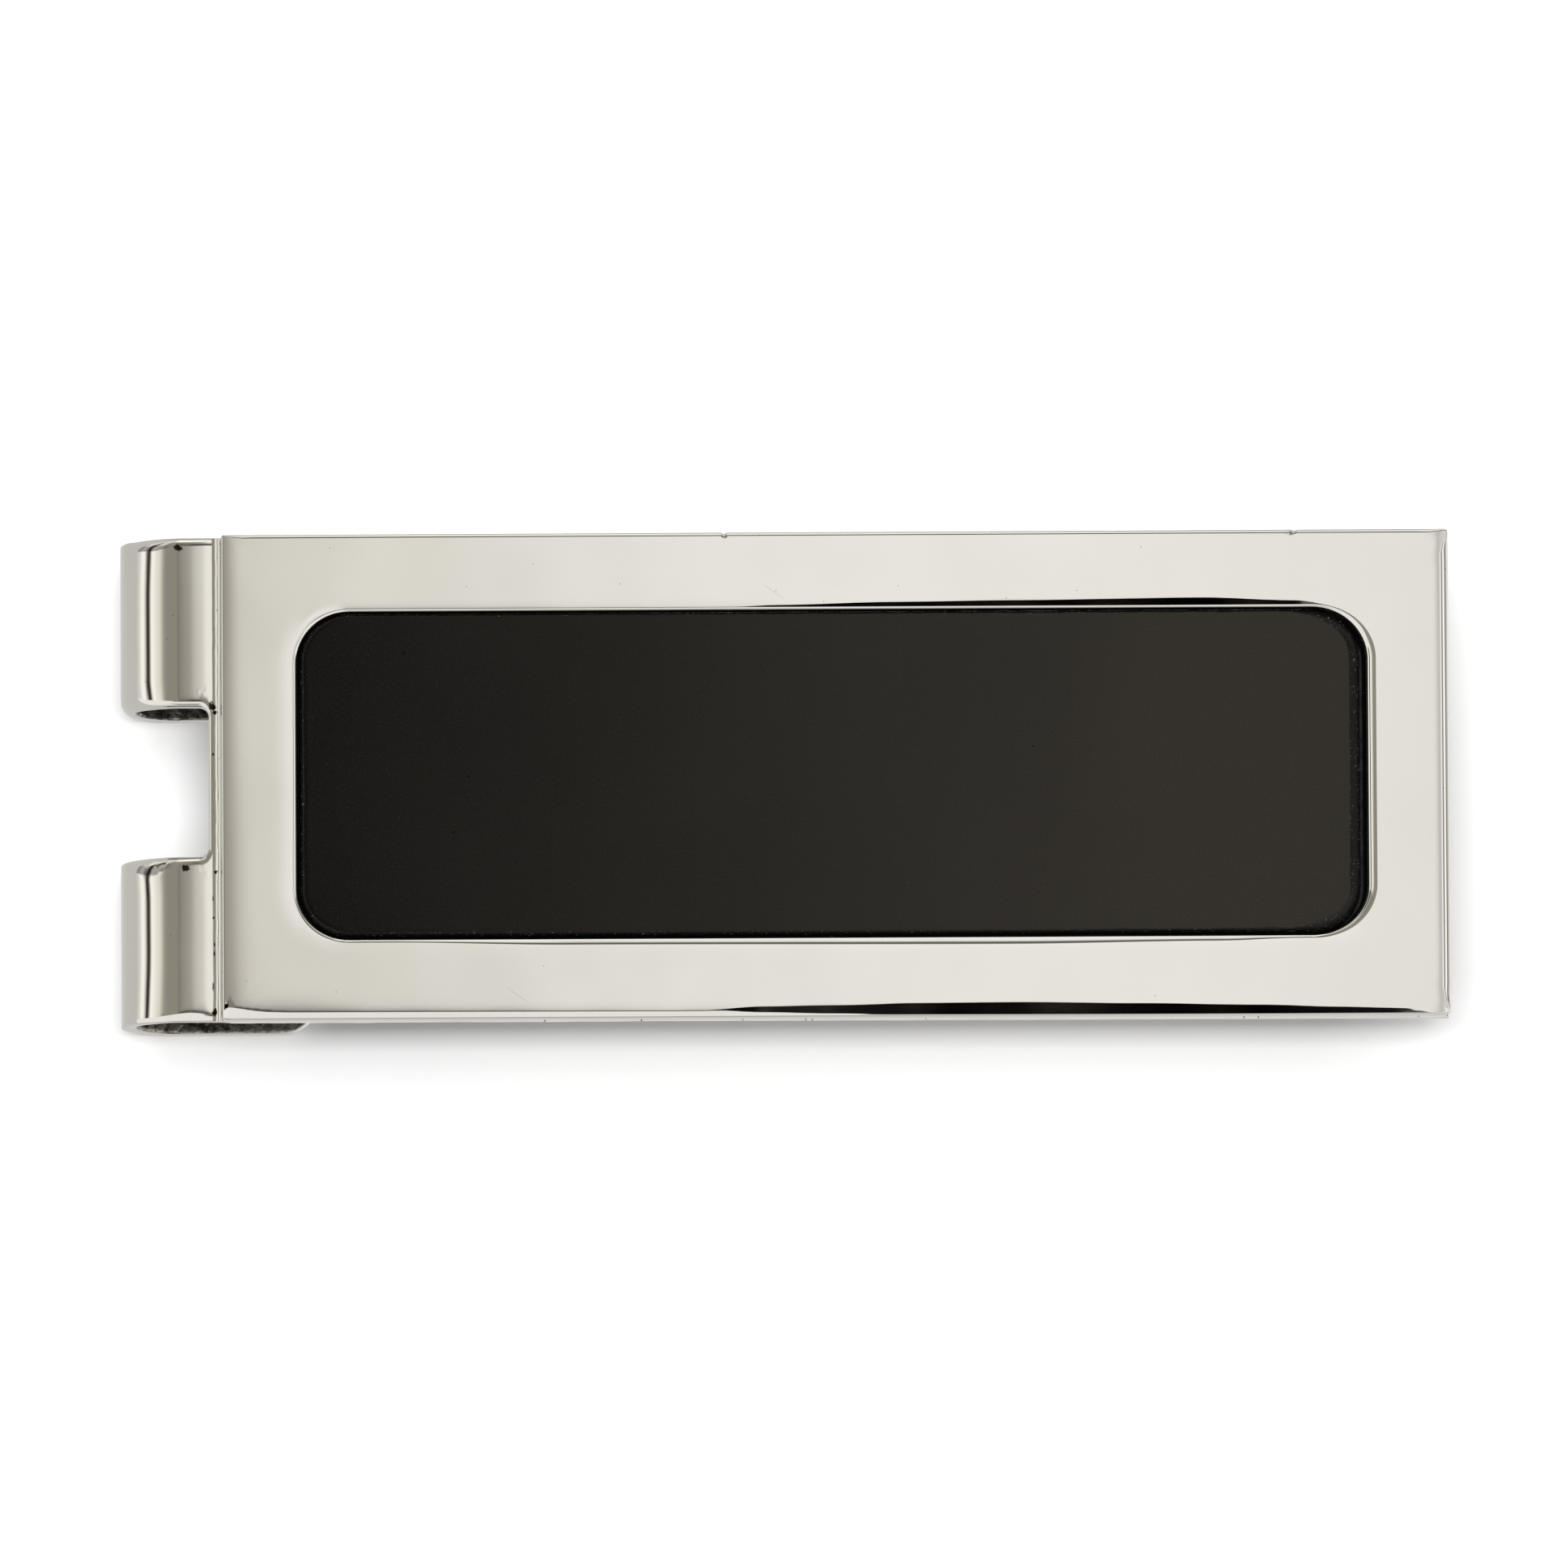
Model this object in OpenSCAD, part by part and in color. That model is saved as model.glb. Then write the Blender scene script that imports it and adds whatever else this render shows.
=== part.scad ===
// Money clip: a polished silver face frame with a black stone inlay, soldered onto
// a folded spring strip whose tongue presses up against the back of the face.
//
// X runs along the clip, from the fold at -X to the open end at +X. Y runs across it
// and Z comes out of the face. The origin is under the middle of the clip's box, on
// the plane that the flat behind the fold and the tongue's lip both rest on.

/* [Overall] */
// Length of the whole clip, fold included
clip_length = 54; // [50:0.5:58]
// Width of the whole clip
clip_width = 19.8; // [18:0.2:24]

/* [Face frame] */
// How far the fold reaches past the end of the frame
fold_reach = 4.2; // [3.8:0.1:5]
// Thickness of the frame
frame_t = 1.35; // [1.1:0.05:1.8]
// Width of the frame's short side at the fold
fold_end_border = 3; // [2:0.1:4]
// Width of the frame's short side at the open end
open_end_border = 3.3; // [2:0.1:4]
// Width of the frame's two long sides
frame_side_border = 3.2; // [2:0.1:4]
// Corner radius of the frame's window
window_corner_r = 2.1; // [1:0.1:3]

/* [Inlay] */
// Gap between the stone and the window's wall
stone_gap = 0.2; // [0.1:0.05:0.3]
// Thickness of the adhesive under the stone
adhesive_t = 0.14; // [0.05:0.01:0.3]
// How far the stone lies below the face
stone_recess = 0.06; // [0:0.02:0.1]
// Width of the bevel ground round the stone's top
stone_bevel = 0.3; // [0.1:0.05:0.5]
// Height of the adhesive that has risen into the gap round the stone
adhesive_rise = 0.75; // [0.4:0.05:0.8]

/* [Solder] */
// Thickness of the solder film between the frame and the strip
solder_t = 0.05; // [0.02:0.01:0.1]
// Width of the solder film, inwards from the frame's outer edge
solder_film_w = 2.2; // [0.5:0.1:2.6]
// Radius of the solder fillet across the frame's fold end
solder_fillet_r = 0.35; // [0.2:0.05:0.5]

/* [Spring strip] */
// Thickness of the strip
strip_t = 0.7; // [0.5:0.05:1]
// Outer radius of the fold
fold_r = 2.4; // [2.2:0.1:3]
// Width of the relief slot through the fold
slot_w = 6.1; // [4:0.1:8]
// How far the slot lies towards the clip's +Y side
slot_shift = -0.1; // [-0.5:0.1:0.5]
// Ledge of strip left between the slot and the frame's end
slot_ledge = 0.56; // [0.5:0.02:0.8]
// Corner radius at the slot's ends
slot_corner_r = 0.4; // [0.2:0.05:0.8]

/* [Tongue] */
// Length of the flat between the fold and the tongue's ramp
foot_length = 4.5; // [4:0.1:6]
// How far the slot runs into that flat
slot_run = 2.3; // [1:0.1:2.6]
// Distance from the fold's end to the shoulders
shoulder_reach = 5.7; // [5:0.1:7]
// Outer corner radius of the shoulders
shoulder_r = 1.6; // [0.8:0.1:1.6]
// Radius where the shoulders meet the tongue's sides
shoulder_fillet_r = 1.2; // [0.5:0.1:1.3]
// Width of the tongue at the shoulders
tongue_root_w = 14; // [11:0.5:14]
// Width of the tongue at its tip
tongue_tip_w = 11; // [9:0.5:11]
// Corner radius of the tip
tongue_tip_r = 4.2; // [2:0.1:4.4]
// Slope of the ramp up to the crest
ramp_angle = 6.2; // [5.8:0.1:7]
// Radius of the bend between the flat and the ramp
ramp_bend_r = 20; // [10:1:30]
// Radius of the crest that presses on the back of the face
crest_r = 14; // [8:1:16]
// Slope of the lip beyond the crest
lip_angle = 25; // [24:1:30]
// Radius of the rolled end of the lip
lip_roll_r = 3; // [2:0.5:4]
// How far the lip's end turns up again
lip_curl_angle = 14; // [5:1:25]
// Gap that stays at the crest when the clip is closed
pinch_gap = 0.05; // [0.03:0.01:0.1]

/* [Hidden] */

$fn = 96;
arc_steps = 32;   // straight steps in a quarter turn of an outline
bevel_fn = 32;    // sides of the cones that are hulled into the stone's bevel
past = 1;         // how far a cutting shape runs past what it cuts

silver = [0.86, 0.85, 0.81];
solder = [0.80, 0.79, 0.75];
stone = [0.05, 0.05, 0.045];
epoxy = [0.02, 0.02, 0.02];

// Places along X
fold_left = -clip_length / 2;
fold_x = fold_left + fold_r;            // the fold's centre line, where both leaves start
frame_left = fold_left + fold_reach;
frame_right = clip_length / 2;
frame_mid = (frame_left + frame_right) / 2;
slot_end_upper = frame_left - slot_ledge;
slot_end_lower = fold_x + slot_run;
foot_end = fold_x + foot_length;
shoulder_x = fold_x + shoulder_reach;

// Levels along Z
leaf_top = 2 * fold_r;
leaf_bottom = leaf_top - strip_t;
frame_bottom = leaf_top + solder_t;
frame_top = frame_bottom + frame_t;
stone_top = frame_top - stone_recess;
stone_bottom = leaf_top + adhesive_t;
stone_t = stone_top - stone_bottom;

// Sizes in plan
frame_length = frame_right - frame_left;
window_l = frame_length - fold_end_border - open_end_border;
window_mid = frame_left + fold_end_border + window_l / 2;
window_w = clip_width - 2 * frame_side_border;
stone_l = window_l - 2 * stone_gap;
stone_w = window_w - 2 * stone_gap;
stone_corner_r = window_corner_r - stone_gap;

// The tongue's side view is one tangent path through the strip's middle:
// flat, bend up, ramp, crest, lip and rolled end
mid_rise = leaf_bottom - pinch_gap - strip_t;
ramp_l = (mid_rise - (ramp_bend_r + crest_r) * (1 - cos(ramp_angle))) / sin(ramp_angle);
lip_l = (mid_rise - (crest_r + lip_roll_r) * (1 - cos(lip_angle))) / sin(lip_angle);
crest_x = foot_end + (ramp_bend_r + crest_r) * sin(ramp_angle) + ramp_l * cos(ramp_angle);
roll_x = crest_x + (crest_r + lip_roll_r) * sin(lip_angle) + lip_l * cos(lip_angle);
tip_x = roll_x + (lip_roll_r + strip_t / 2) * sin(lip_curl_angle);

// Points of an arc, turning from angle a0 to angle a1 round [cx, cy]
function arc(cx, cy, r, a0, a1) =
    let (steps = max(2, round(arc_steps * abs(a1 - a0) / 90)))
    [for (i = [0:steps]) let (a = a0 + (a1 - a0) * i / steps) [cx + r * cos(a), cy + r * sin(a)]];

// The same outline seen in the clip's middle plane, walked the other way
function mirrored(points) = [for (i = [len(points) - 1:-1:0]) [points[i][0], -points[i][1]]];

// A rectangle with round corners, centred on [x, 0]
module rounded_plate(x, length, width, corner_r, bottom, height) {
    translate([x, 0, bottom]) linear_extrude(height) {
        square([length - 2 * corner_r, width], center = true);
        square([length, width - 2 * corner_r], center = true);
        for (sx = [-1, 1], sy = [-1, 1])
            translate([sx * (length / 2 - corner_r), sy * (width / 2 - corner_r)]) circle(corner_r);
    }
}

// Stands a side view, drawn as x and z, up across the clip from y0 to y1
module across(y0, y1) {
    translate([0, y1, 0]) rotate([90, 0, 0]) linear_extrude(y1 - y0) children();
}

// The relief slot, as a cutter from left of the fold to its rounded inner corners
module slot_cutter(end_x, bottom, height) {
    left = fold_left - past;
    half = slot_w / 2;
    side = arc(end_x - slot_corner_r, half - slot_corner_r, slot_corner_r, 0, 90);
    translate([0, slot_shift, bottom - past]) linear_extrude(height + 2 * past)
        polygon(concat(side, [[left, half], [left, -half]], mirrored(side)));
}

// A quarter of the fold on one side of the slot: the upper ones turn from the front
// leaf to the fold's left, the lower ones from there to the tongue
module quarter_bend(y0, y1, upper) {
    side = upper ? 0 : -fold_r;
    color(silver) across(y0, y1) translate([fold_x, fold_r]) intersection() {
        difference() {
            circle(fold_r);
            circle(fold_r - strip_t);
        }
        translate([-fold_r, side]) square(fold_r);
    }
}

module face_frame() {
    color(silver) difference() {
        translate([frame_left, -clip_width / 2, frame_bottom]) cube([frame_length, clip_width, frame_t]);
        rounded_plate(window_mid, window_l, window_w, window_corner_r, frame_bottom - past, frame_t + 2 * past);
    }
}

module stone_inlay() {
    color(stone) {
        rounded_plate(window_mid, stone_l, stone_w, stone_corner_r, stone_bottom, stone_t - stone_bevel);
        translate([window_mid, 0, stone_top - stone_bevel]) hull()
            for (sx = [-1, 1], sy = [-1, 1])
                translate([sx * (stone_l / 2 - stone_corner_r), sy * (stone_w / 2 - stone_corner_r), 0])
                    cylinder(h = stone_bevel, r1 = stone_corner_r, r2 = stone_corner_r - stone_bevel, $fn = bevel_fn);
    }
}

// The adhesive lies under the stone and has risen part of the way up the gap round it
module adhesive_bed() {
    color(epoxy) difference() {
        rounded_plate(window_mid, window_l, window_w, window_corner_r, leaf_top, adhesive_rise);
        rounded_plate(window_mid, stone_l, stone_w, stone_corner_r, stone_bottom, stone_t);
    }
}

// The solder film follows the frame's outer edge all round
module solder_film() {
    inner_l = frame_length - 2 * solder_film_w;
    inner_w = clip_width - 2 * solder_film_w;
    color(solder) difference() {
        translate([frame_left, -clip_width / 2, leaf_top]) cube([frame_length, clip_width, solder_t]);
        translate([frame_mid, 0, leaf_top]) cube([inner_l, inner_w, 4 * solder_t], center = true);
    }
}

// The hollow fillet of solder in the corner between the strip and the frame's end
module solder_fillet() {
    r = solder_fillet_r;
    color(solder) difference() {
        translate([frame_left - r, -clip_width / 2, leaf_top]) cube([r, clip_width, r]);
        translate([frame_left - r, 0, leaf_top + r]) rotate([90, 0, 0])
            cylinder(h = clip_width + 2 * past, r = r, center = true);
    }
}

module front_leaf() {
    color(silver) difference() {
        translate([fold_x, -clip_width / 2, leaf_bottom]) cube([frame_right - fold_x, clip_width, strip_t]);
        slot_cutter(slot_end_upper, leaf_bottom, strip_t);
    }
}

module far_bend_upper() { quarter_bend(slot_shift + slot_w / 2, clip_width / 2, true); }
module near_bend_upper() { quarter_bend(-clip_width / 2, slot_shift - slot_w / 2, true); }
module far_bend_lower() { quarter_bend(slot_shift + slot_w / 2, clip_width / 2, false); }
module near_bend_lower() { quarter_bend(-clip_width / 2, slot_shift - slot_w / 2, false); }

// The tongue's side view: along its underside from the fold to the turned-up end of
// the lip, then back along its top
function tongue_profile() =
    let (
        half = strip_t / 2,
        bend_z = half + ramp_bend_r,
        crest_z = half + mid_rise - crest_r,
        roll_z = half + lip_roll_r
    )
    concat(
        [[fold_x, 0]],
        arc(foot_end, bend_z, ramp_bend_r + half, -90, ramp_angle - 90),
        arc(crest_x, crest_z, crest_r - half, 90 + ramp_angle, 90 - lip_angle),
        arc(roll_x, roll_z, lip_roll_r + half, -90 - lip_angle, lip_curl_angle - 90),
        arc(roll_x, roll_z, lip_roll_r - half, lip_curl_angle - 90, -90 - lip_angle),
        arc(crest_x, crest_z, crest_r + half, 90 - lip_angle, 90 + ramp_angle),
        arc(foot_end, bend_z, ramp_bend_r - half, ramp_angle - 90, -90),
        [[fold_x, strip_t]]
    );

// One side of the tongue's plan, from the fold round the shoulder and down to the tip
function tongue_side() =
    let (
        edge = clip_width / 2,
        root = tongue_root_w / 2,
        tip = tongue_tip_w / 2
    )
    concat(
        [[fold_x, edge]],
        arc(shoulder_x - shoulder_r, edge - shoulder_r, shoulder_r, 90, 0),
        arc(shoulder_x + shoulder_fillet_r, root + shoulder_fillet_r, shoulder_fillet_r, 180, 270),
        arc(tip_x - tongue_tip_r, tip - tongue_tip_r, tongue_tip_r, 90, 0)
    );

module tongue() {
    color(silver) difference() {
        intersection() {
            across(-clip_width / 2, clip_width / 2) polygon(tongue_profile());
            translate([0, 0, -past]) linear_extrude(leaf_top + 2 * past)
                polygon(concat(tongue_side(), mirrored(tongue_side())));
        }
        slot_cutter(slot_end_lower, 0, strip_t);
    }
}

face_frame();
stone_inlay();
adhesive_bed();
solder_film();
solder_fillet();
front_leaf();
far_bend_upper();
near_bend_upper();
far_bend_lower();
near_bend_lower();
tongue();
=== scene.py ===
import math

import bmesh
import bpy
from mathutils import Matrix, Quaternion, Vector, noise


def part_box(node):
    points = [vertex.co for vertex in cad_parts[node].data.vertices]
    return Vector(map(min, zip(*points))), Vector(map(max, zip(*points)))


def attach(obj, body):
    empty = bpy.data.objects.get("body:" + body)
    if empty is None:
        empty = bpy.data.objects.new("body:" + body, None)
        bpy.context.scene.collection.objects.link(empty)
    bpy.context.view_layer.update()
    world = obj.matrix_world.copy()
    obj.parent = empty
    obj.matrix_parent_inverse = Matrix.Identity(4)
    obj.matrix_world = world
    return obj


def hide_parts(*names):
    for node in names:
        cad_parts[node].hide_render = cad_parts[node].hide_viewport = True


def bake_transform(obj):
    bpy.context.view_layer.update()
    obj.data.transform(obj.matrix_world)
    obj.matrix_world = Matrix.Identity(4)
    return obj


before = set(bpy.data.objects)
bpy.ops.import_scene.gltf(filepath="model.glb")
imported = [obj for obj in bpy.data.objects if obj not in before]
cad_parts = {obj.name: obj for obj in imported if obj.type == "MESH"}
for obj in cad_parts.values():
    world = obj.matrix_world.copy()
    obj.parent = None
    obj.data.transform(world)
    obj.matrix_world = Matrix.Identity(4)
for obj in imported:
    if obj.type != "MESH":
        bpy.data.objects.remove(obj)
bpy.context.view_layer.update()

# Lengths in this file are in millimetres, and are turned into metres as a piece is made.
MM = 0.001


def node_box(name):
    low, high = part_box(name)
    return Vector(low) / MM, Vector(high) / MM


# ---------------------------------------------------------------- places, from the CAD
FRAME_LOW, FRAME_HIGH = node_box("face_frame")
STONE_LOW, STONE_HIGH = node_box("stone_inlay")
BED_LOW, BED_HIGH = node_box("adhesive_bed")
LEAF_LOW, LEAF_HIGH = node_box("front_leaf")
FILLET_LOW, FILLET_HIGH = node_box("solder_fillet")
FAR_BEND_LOW = node_box("far_bend_lower")[0]
NEAR_BEND_HIGH = node_box("near_bend_lower")[1]

STRIP_T = LEAF_HIGH.z - LEAF_LOW.z
HALF_T = STRIP_T / 2
FOLD_R = LEAF_HIGH.z / 2
FOLD_X = LEAF_LOW.x
MID_R = FOLD_R - HALF_T
EDGE = LEAF_HIGH.y
SLOT_HIGH, SLOT_LOW = FAR_BEND_LOW.y, NEAR_BEND_HIGH.y
LEAF_TOP = LEAF_HIGH.z
FRAME_TOP = FRAME_HIGH.z
FRAME_MID_X = (FRAME_LOW.x + FRAME_HIGH.x) / 2
WINDOW_MID_X = (BED_LOW.x + BED_HIGH.x) / 2
WINDOW_L, WINDOW_W = BED_HIGH.x - BED_LOW.x, BED_HIGH.y - BED_LOW.y

# Sizes that part.scad also states
WINDOW_R = 2.1
SLOT_LEDGE = 0.56
SLOT_CORNER_R = 0.4
SLOT_RUN = 2.3
FOOT_LENGTH = 4.5
SHOULDER_REACH, SHOULDER_R, SHOULDER_FILLET_R = 5.7, 1.6, 1.2
TONGUE_ROOT_W, TONGUE_TIP_W, TONGUE_TIP_R = 14, 11, 4.2
RAMP_DEG, RAMP_BEND_R = 6.2, 20
CREST_R, LIP_DEG, LIP_ROLL_R, LIP_CURL_DEG = 14, 25, 3, 14
PINCH_GAP = 0.05

# The strip was soldered on a little towards the far side of the frame, and is folded a little askew
STRIP_SHIFT, TONGUE_SHIFT = 0.09, 0.01
# Its open end stops a little short of the frame's
STRIP_SHORT = 0.08

# Edges that are sharper than this stay creased
CREASE_DEG = 50
# Width of the strip of flat kept beside a rounded edge, so that the flat is shaded as flat
FLAT_BESIDE_EDGE = 0.05

# How pale the floor is, how bright the even parts of the tent are, and the strength of all its light
FLOOR_LEVEL = 0.85
TENT_LEVEL = 0.85
TENT_STRENGTH = 1.5

# The camera: degrees that it leans towards the near side, degrees that it is turned about its own
# line of sight, and metres from the point it looks at
CAMERA_TILT_DEG, CAMERA_ROLL_DEG, CAMERA_REACH = 6.9, -0.3, 1.25
# Width of what it sees at that point, in millimetres, and the height of that point
VIEW_W, AIM_Z = 63.77, 2.77


# ---------------------------------------------------------------- small maths
def lerp(a, b, t):
    return a + (b - a) * t


def smooth(t):
    t = min(max(t, 0), 1)
    return t * t * (3 - 2 * t)


def ease(x, points):
    """The value at x of a smooth curve through (x, value) points."""
    if x <= points[0][0]:
        return points[0][1]
    for (x0, v0), (x1, v1) in zip(points, points[1:]):
        if x < x1:
            return lerp(v0, v1, smooth((x - x0) / (x1 - x0)))
    return points[-1][1]


def wave(x, y, size, seed):
    """Smooth noise from -1 to 1 with features about size across."""
    return noise.noise(Vector((x / size, y / size, seed * 7.31)))


def span(a, b, step):
    """Values from a to b about step apart, both ends included."""
    count = max(1, round(abs(b - a) / step))
    return [lerp(a, b, i / count) for i in range(count + 1)]


def arc(cx, cy, r, a0, a1, steps=10):
    """Points of an arc, from angle a0 to a1 in degrees."""
    angles = [math.radians(lerp(a0, a1, i / steps)) for i in range(steps + 1)]
    return [(cx + r * math.cos(a), cy + r * math.sin(a)) for a in angles]


def inward_normals(points):
    """The mitred inward direction at each corner of a counter-clockwise outline."""
    result = []
    for i, p in enumerate(points):
        before, after = points[i - 1], points[(i + 1) % len(points)]
        n = []
        for q0, q1 in ((before, p), (p, after)):
            dx, dy = q1[0] - q0[0], q1[1] - q0[1]
            length = math.hypot(dx, dy)
            n.append((-dy / length, dx / length))
        share = 1 + n[0][0] * n[1][0] + n[0][1] * n[1][1]
        result.append(((n[0][0] + n[1][0]) / share, (n[0][1] + n[1][1]) / share))
    return result


# ---------------------------------------------------------------- mesh makers
def make_piece(name, bm, materials, body, nodes, pick=None):
    """Turns a bmesh in millimetres into a finished piece."""
    bmesh.ops.recalc_face_normals(bm, faces=bm.faces[:])
    for face in bm.faces:
        face.smooth = True
        if pick:
            face.material_index = pick(face.calc_center_median(), face.normal)
    for edge in bm.edges:
        one_material = len({f.material_index for f in edge.link_faces}) < 2
        edge.smooth = one_material and edge.calc_face_angle(0) < math.radians(CREASE_DEG)
    for v in bm.verts:
        v.co *= MM
    mesh = bpy.data.meshes.new(name)
    bm.to_mesh(mesh)
    bm.free()
    for m in materials:
        mesh.materials.append(m)
    piece = bpy.data.objects.new(name, mesh)
    bpy.context.scene.collection.objects.link(piece)
    if body:
        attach(piece, body)
    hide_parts(*nodes)
    return piece


def round_edge(r, z, up, steps):
    """A rounded edge of radius r at level z, from the wall inwards, as (distance, level) points."""
    sign = 1 if up else -1
    points = []
    for k in range(steps + 1):
        a = math.radians(90 * k / steps)
        points.append((r * (1 - math.cos(a)), z - sign * r * (1 - math.sin(a))))
    return points + [(r + FLAT_BESIDE_EDGE, z)]


def plate(outline, inward, top, bottom):
    """A closed plate. top(i) and bottom(i) give (distance, level) points at corner i, from the wall in."""
    bm = bmesh.new()
    columns = []
    for i, ((x, y), (nx, ny)) in enumerate(zip(outline, inward)):
        column = bottom(i)[::-1] + top(i)
        columns.append([bm.verts.new((x + nx * d, y + ny * d, z)) for d, z in column])
    for a, b in zip(columns, columns[1:] + columns[:1]):
        for k in range(len(a) - 1):
            bm.faces.new((a[k], b[k], b[k + 1], a[k + 1]))
    bm.faces.new([c[-1] for c in columns])
    bm.faces.new([c[0] for c in reversed(columns)])
    return bm


def cut(bm, axis, places):
    """Cuts every face along planes across axis 0 or 1, so that the mesh can be bent there."""
    normal = Vector((1, 0, 0)) if axis == 0 else Vector((0, 1, 0))
    for place in places:
        geometry = bm.verts[:] + bm.edges[:] + bm.faces[:]
        bmesh.ops.bisect_plane(bm, geom=geometry, dist=1e-5, plane_co=normal * place, plane_no=normal)


def ring(columns):
    """A closed band of quads. Each column is a closed loop of points round the section."""
    bm = bmesh.new()
    loops = [[bm.verts.new(p) for p in column] for column in columns]
    for a, b in zip(loops, loops[1:] + loops[:1]):
        for k in range(len(a)):
            n = (k + 1) % len(a)
            bm.faces.new((a[k], b[k], b[n], a[n]))
    return bm


def round_rect(cx, length, width, r, steps=12, spacing=0.4):
    """A counter-clockwise outline of a rectangle with round corners."""
    x, y = length / 2 - r, width / 2 - r
    points = []
    for px, py, a in ((x, -y, -90), (x, y, 0), (-x, y, 90), (-x, -y, 180)):
        corner = arc(cx + px, py, r, a, a + 90, steps)
        if points:
            points += straight(points[-1], corner[0], spacing)
        points += corner
    return points + straight(points[-1], points[0], spacing)


def straight(p, q, spacing):
    """The points between p and q, ends left out."""
    count = max(1, round(math.dist(p, q) / spacing))
    return [(lerp(p[0], q[0], i / count), lerp(p[1], q[1], i / count)) for i in range(1, count)]


# ---------------------------------------------------------------- materials
class Tree:
    """A node tree under construction. Values are given by an input's name or number."""

    def __init__(self, tree):
        self.tree = tree

    def set(self, node, values):
        for key, value in values.items():
            if isinstance(value, bpy.types.NodeSocket):
                self.tree.links.new(value, node.inputs[key])
            else:
                node.inputs[key].default_value = value

    def add(self, kind, values=None, **options):
        node = self.tree.nodes.new("ShaderNode" + kind)
        for key, value in options.items():
            setattr(node, key, value)
        self.set(node, values or {})
        return node

    def math(self, operation, a, b=0.0):
        return self.add("Math", {0: a, 1: b}, operation=operation).outputs[0]

    def vector(self, operation, a, b=(0, 0, 0)):
        return self.add("VectorMath", {0: a, 1: b}, operation=operation).outputs


class Nodes(Tree):
    """A material under construction."""

    def __init__(self, name, color, metallic, roughness):
        self.material = bpy.data.materials.new(name)
        self.material.use_nodes = True
        super().__init__(self.material.node_tree)
        self.shader = self.tree.nodes["Principled BSDF"]
        self.set(self.shader, {"Base Color": (*color, 1), "Metallic": metallic, "Roughness": roughness})
        self.place = self.add("TexCoord").outputs["Object"]

    def noise(self, scale, detail=2, roughness=0.5, stretch=(1, 1, 1), turn=0):
        rotation = (0, 0, math.radians(turn))
        mapping = self.add("Mapping", {"Vector": self.place, "Scale": stretch, "Rotation": rotation})
        values = {
            "Vector": mapping.outputs[0],
            "Scale": scale,
            "Detail": detail,
            "Roughness": roughness,
        }
        return self.add("TexNoise", values).outputs[0]

    def remap(self, source, from_min, from_max, to_min, to_max):
        values = {
            "Value": source,
            "From Min": from_min,
            "From Max": from_max,
            "To Min": to_min,
            "To Max": to_max,
        }
        return self.add("MapRange", values).outputs[0]

    def mix(self, factor, a, b):
        """A colour between two, each of them three numbers or a socket."""
        a, b = (v if isinstance(v, bpy.types.NodeSocket) else (*v, 1) for v in (a, b))
        return self.add("Mix", {"Factor": factor, 6: a, 7: b}, data_type="RGBA").outputs[2]

    def spot(self, place, size, narrow=1):
        """A mask that is 1 in a ragged spot round a place, in millimetres, narrower along X if asked."""
        away = self.vector("SUBTRACT", self.place, Vector(place) * MM)[0]
        scaled = self.vector("MULTIPLY", away, (narrow, 1, 0.6))[0]
        ragged = self.math("MULTIPLY", self.noise(9000, 2), 0.9 * size * MM)
        reach = self.math("ADD", self.vector("LENGTH", scaled)["Value"], ragged)
        return self.remap(reach, 0.8 * size * MM, 0.98 * size * MM, 1, 0)

    def flecks(self, scale, size, rare, stretch=(1, 1, 1), turn=0):
        """Scattered dots seen from above, or short lines if stretched. Rare is the share left out."""
        turned = self.add("Mapping", {"Vector": self.place, "Rotation": (0, 0, math.radians(turn))})
        mapping = self.add("Mapping", {"Vector": turned.outputs[0], "Scale": stretch})
        values = {"Vector": mapping.outputs[0], "Scale": scale}
        cells = self.add("TexVoronoi", values, voronoi_dimensions="2D")
        picked = self.add("SeparateXYZ", {"Vector": cells.outputs["Color"]}).outputs[0]
        dots = self.remap(cells.outputs["Distance"], 0.6 * size, size, 1, 0)
        # The pattern is flat, so walls, where it would turn into upright lines, are left clear
        normal = self.add("SeparateXYZ", {"Vector": self.add("TexCoord").outputs["Normal"]}).outputs[2]
        level = self.remap(self.math("ABSOLUTE", normal), 0.4, 0.7, 0, 1)
        kept = self.remap(picked, rare, rare + 0.05, 0, 1)
        return self.math("MULTIPLY", self.math("MULTIPLY", dots, level), kept)

    def bump(self, height, strength, distance):
        values = {"Height": height, "Strength": strength, "Distance": distance * MM}
        node = self.add("Bump", values)
        self.set(self.shader, {"Normal": node.outputs[0]})


SILVER_COLOR = (0.62, 0.6, 0.556)
# Colours of a pit in the strip, of a speck and of a scratch on polished metal
PIT_COLOR, SPECK_COLOR, SCRATCH_COLOR = (0.03, 0.027, 0.022), (0.3, 0.28, 0.25), (0.3, 0.29, 0.26)
# Least and greatest roughness of polished metal
POLISH = 0.035, 0.07


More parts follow.
